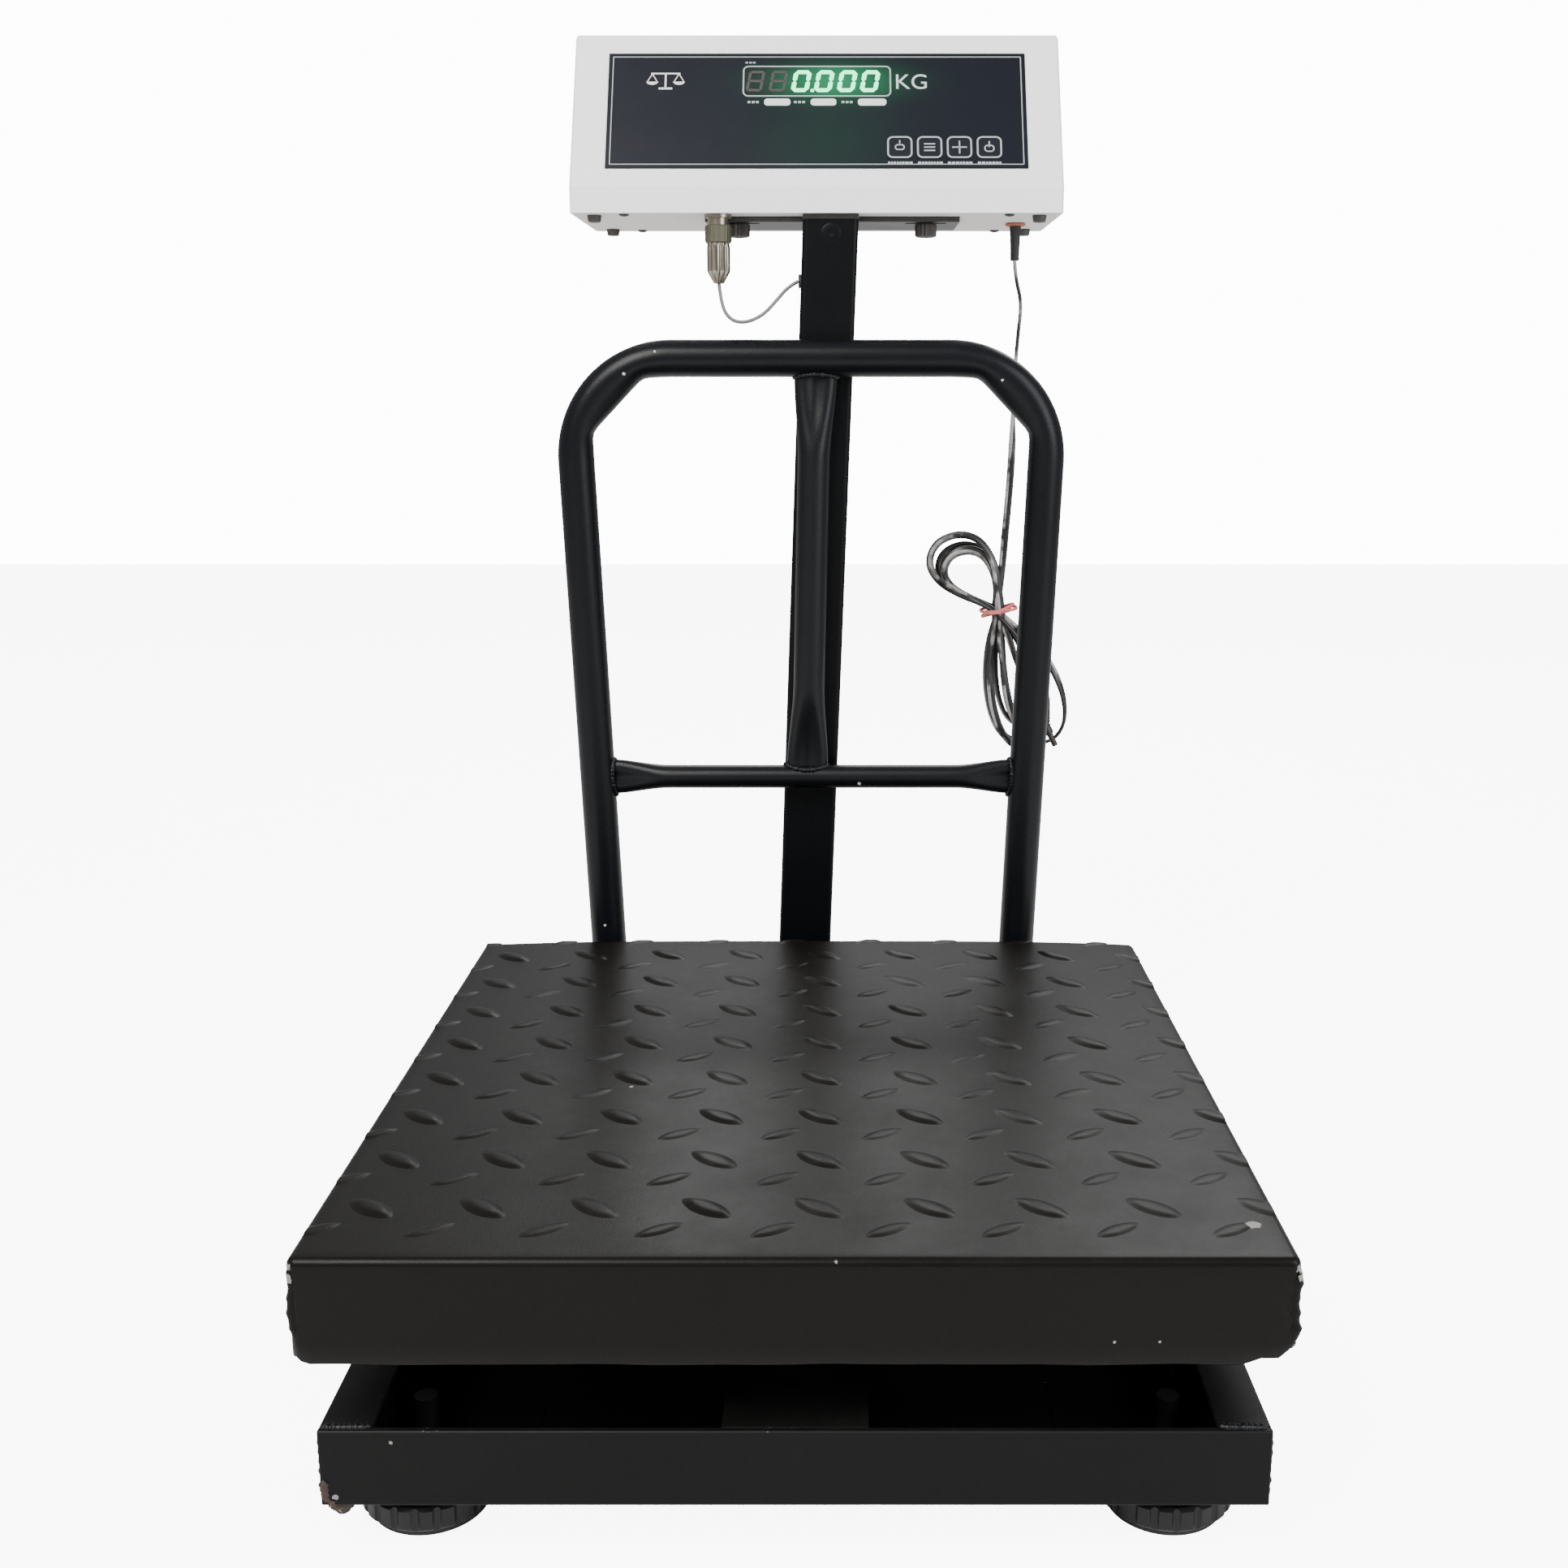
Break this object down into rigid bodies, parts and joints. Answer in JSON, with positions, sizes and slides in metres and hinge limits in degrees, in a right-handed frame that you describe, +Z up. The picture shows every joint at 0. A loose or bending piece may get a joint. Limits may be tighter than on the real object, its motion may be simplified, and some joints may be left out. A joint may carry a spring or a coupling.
{
  "type": "platform shipping scale",
  "caption": "Electronic platform scale with a square tread-plate pan on a levelling base, a tubular guard rail and a column that carries a sloped indicator with a display and keys.",
  "frame": {"origin": "on the floor under the middle of the whole outline", "axes": "+Z up, +X to the right and +Y to the back for a person who faces the display"},
  "size_m": [0.4, 0.54, 0.673],
  "materials": {
    "pan_paint": "satin charcoal paint on tread plate",
    "frame_paint": "satin black paint",
    "rail_paint": "soft-gloss black paint",
    "case_coat": "fine warm-white powder coat",
    "zinc": "zinc plate, dull",
    "dark_zinc": "blackened steel",
    "cell_aluminium": "milled",
    "connector_nickel": "dulled nickel",
    "black_rubber": "matte",
    "wheel_plastic": "moulded",
    "overlay_film": "printed polyester film",
    "window_lens": "smoked lens",
    "led_module": "seven-segment module",
    "key_cap": "printed key film",
    "circuit": "solder mask",
    "battery_case": "moulded",
    "cord_pvc": "PVC flex",
    "red_band": "rubber band",
    "red_grommet": "rubber"
  },
  "bodies": {
    "base": {"base_center_beam": "frame_paint", "base_floor_sheets": "frame_paint", "base_front_rail": "frame_paint", "base_rear_rail": "frame_paint", "base_side_rails": "frame_paint", "battery": "battery_case", "bracket_knobs": "wheel_plastic", "case_feet": "black_rubber", "case_screws": "dark_zinc", "column": "rail_paint", "column_bolts": "zinc", "column_flange": "rail_paint", "column_grommet": "black_rubber", "display_window": "window_lens", "foot_jam_nuts": "zinc", "foot_plates": "frame_paint", "hank_tie": "red_band", "indicator_bottom_plate": "case_coat", "indicator_bracket": "frame_paint", "indicator_case": "case_coat", "key_switches": "wheel_plastic", "led_display": "led_module", "load_cell": "cell_aluminium", "load_cell_cable_inner": "cord_pvc", "load_cell_cable_loop": "cord_pvc", "load_cell_plug": "connector_nickel", "load_cell_socket": "connector_nickel", "load_cell_spacer_lower": "zinc", "lower_cell_bolts": "zinc", "main_circuit_board": "circuit", "overload_stop": "zinc", "panel_overlay": "overlay_film", "power_cord": "cord_pvc", "power_cord_hank": "cord_pvc", "power_grommet": "red_grommet", "power_plug": "wheel_plastic", "rail_crossbar": "rail_paint", "rail_hoop": "rail_paint", "rail_sockets": "rail_paint", "rail_strut": "rail_paint", "rear_shelf": "frame_paint", "rear_shelf_bolts": "zinc"},
    "upper_frame": {"upper_center_beam": "frame_paint", "upper_cross_beams": "frame_paint", "pan_pads": "black_rubber", "load_cell_spacer_upper": "zinc", "upper_cell_bolts": "zinc"},
    "pan": {"platform_pan": "pan_paint"},
    "key_1": {"panel_key_1": "key_cap"},
    "key_2": {"panel_key_2": "key_cap"},
    "key_3": {"panel_key_3": "key_cap"},
    "key_4": {"panel_key_4": "key_cap"},
    "pad_fl": {"foot_pad_fl": "black_rubber"},
    "wheel_fl": {"foot_wheel_fl": "wheel_plastic"},
    "pad_fr": {"foot_pad_fr": "black_rubber"},
    "wheel_fr": {"foot_wheel_fr": "wheel_plastic"},
    "pad_rl": {"foot_pad_rl": "black_rubber"},
    "wheel_rl": {"foot_wheel_rl": "wheel_plastic"},
    "pad_rr": {"foot_pad_rr": "black_rubber"},
    "wheel_rr": {"foot_wheel_rr": "wheel_plastic"}
  },
  "joints": [
    {"name": "platform_load", "type": "slide", "parent": "base", "child": "upper_frame", "axis": [0, 0, -1], "range_m": [0, 0.0012], "stiffness_N_per_m": 800000, "deforming": ["load_cell"]},
    {"name": "pan_lift", "type": "slide", "parent": "upper_frame", "child": "pan", "axis": [0, 0, 1], "range_m": [0, 0.06]},
    {"name": "key_press_1", "type": "slide", "parent": "base", "child": "key_1", "axis": [0, 0.8783, -0.4782], "range_m": [0, 0.0005], "stiffness_N_per_m": 900},
    {"name": "key_press_2", "type": "slide", "parent": "base", "child": "key_2", "axis": [0, 0.8783, -0.4782], "range_m": [0, 0.0005], "stiffness_N_per_m": 900},
    {"name": "key_press_3", "type": "slide", "parent": "base", "child": "key_3", "axis": [0, 0.8783, -0.4782], "range_m": [0, 0.0005], "stiffness_N_per_m": 900},
    {"name": "key_press_4", "type": "slide", "parent": "base", "child": "key_4", "axis": [0, 0.8783, -0.4782], "range_m": [0, 0.0005], "stiffness_N_per_m": 900},
    {"name": "foot_travel_fl", "type": "slide", "parent": "base", "child": "pad_fl", "axis": [0, 0, -1], "range_m": [0, 0.0091]},
    {"name": "foot_turn_fl", "type": "hinge", "parent": "pad_fl", "child": "wheel_fl", "pos_m": [-0.158, -0.228, 0.01], "axis": [0, 0, -1], "range_deg": [0, 2160]},
    {"name": "foot_travel_fr", "type": "slide", "parent": "base", "child": "pad_fr", "axis": [0, 0, -1], "range_m": [0, 0.0091]},
    {"name": "foot_turn_fr", "type": "hinge", "parent": "pad_fr", "child": "wheel_fr", "pos_m": [0.158, -0.228, 0.01], "axis": [0, 0, -1], "range_deg": [0, 2160]},
    {"name": "foot_travel_rl", "type": "slide", "parent": "base", "child": "pad_rl", "axis": [0, 0, -1], "range_m": [0, 0.0091]},
    {"name": "foot_turn_rl", "type": "hinge", "parent": "pad_rl", "child": "wheel_rl", "pos_m": [-0.158, 0.088, 0.01], "axis": [0, 0, -1], "range_deg": [0, 2160]},
    {"name": "foot_travel_rr", "type": "slide", "parent": "base", "child": "pad_rr", "axis": [0, 0, -1], "range_m": [0, 0.0091]},
    {"name": "foot_turn_rr", "type": "hinge", "parent": "pad_rr", "child": "wheel_rr", "pos_m": [0.158, 0.088, 0.01], "axis": [0, 0, -1], "range_deg": [0, 2160]}
  ],
  "couplings": [
    {"joint": "foot_travel_fl", "follows": "foot_turn_fl", "m_per_rad": 0.00023873},
    {"joint": "foot_travel_fr", "follows": "foot_turn_fr", "m_per_rad": 0.00023873},
    {"joint": "foot_travel_rl", "follows": "foot_turn_rl", "m_per_rad": 0.00023873},
    {"joint": "foot_travel_rr", "follows": "foot_turn_rr", "m_per_rad": 0.00023873}
  ]
}
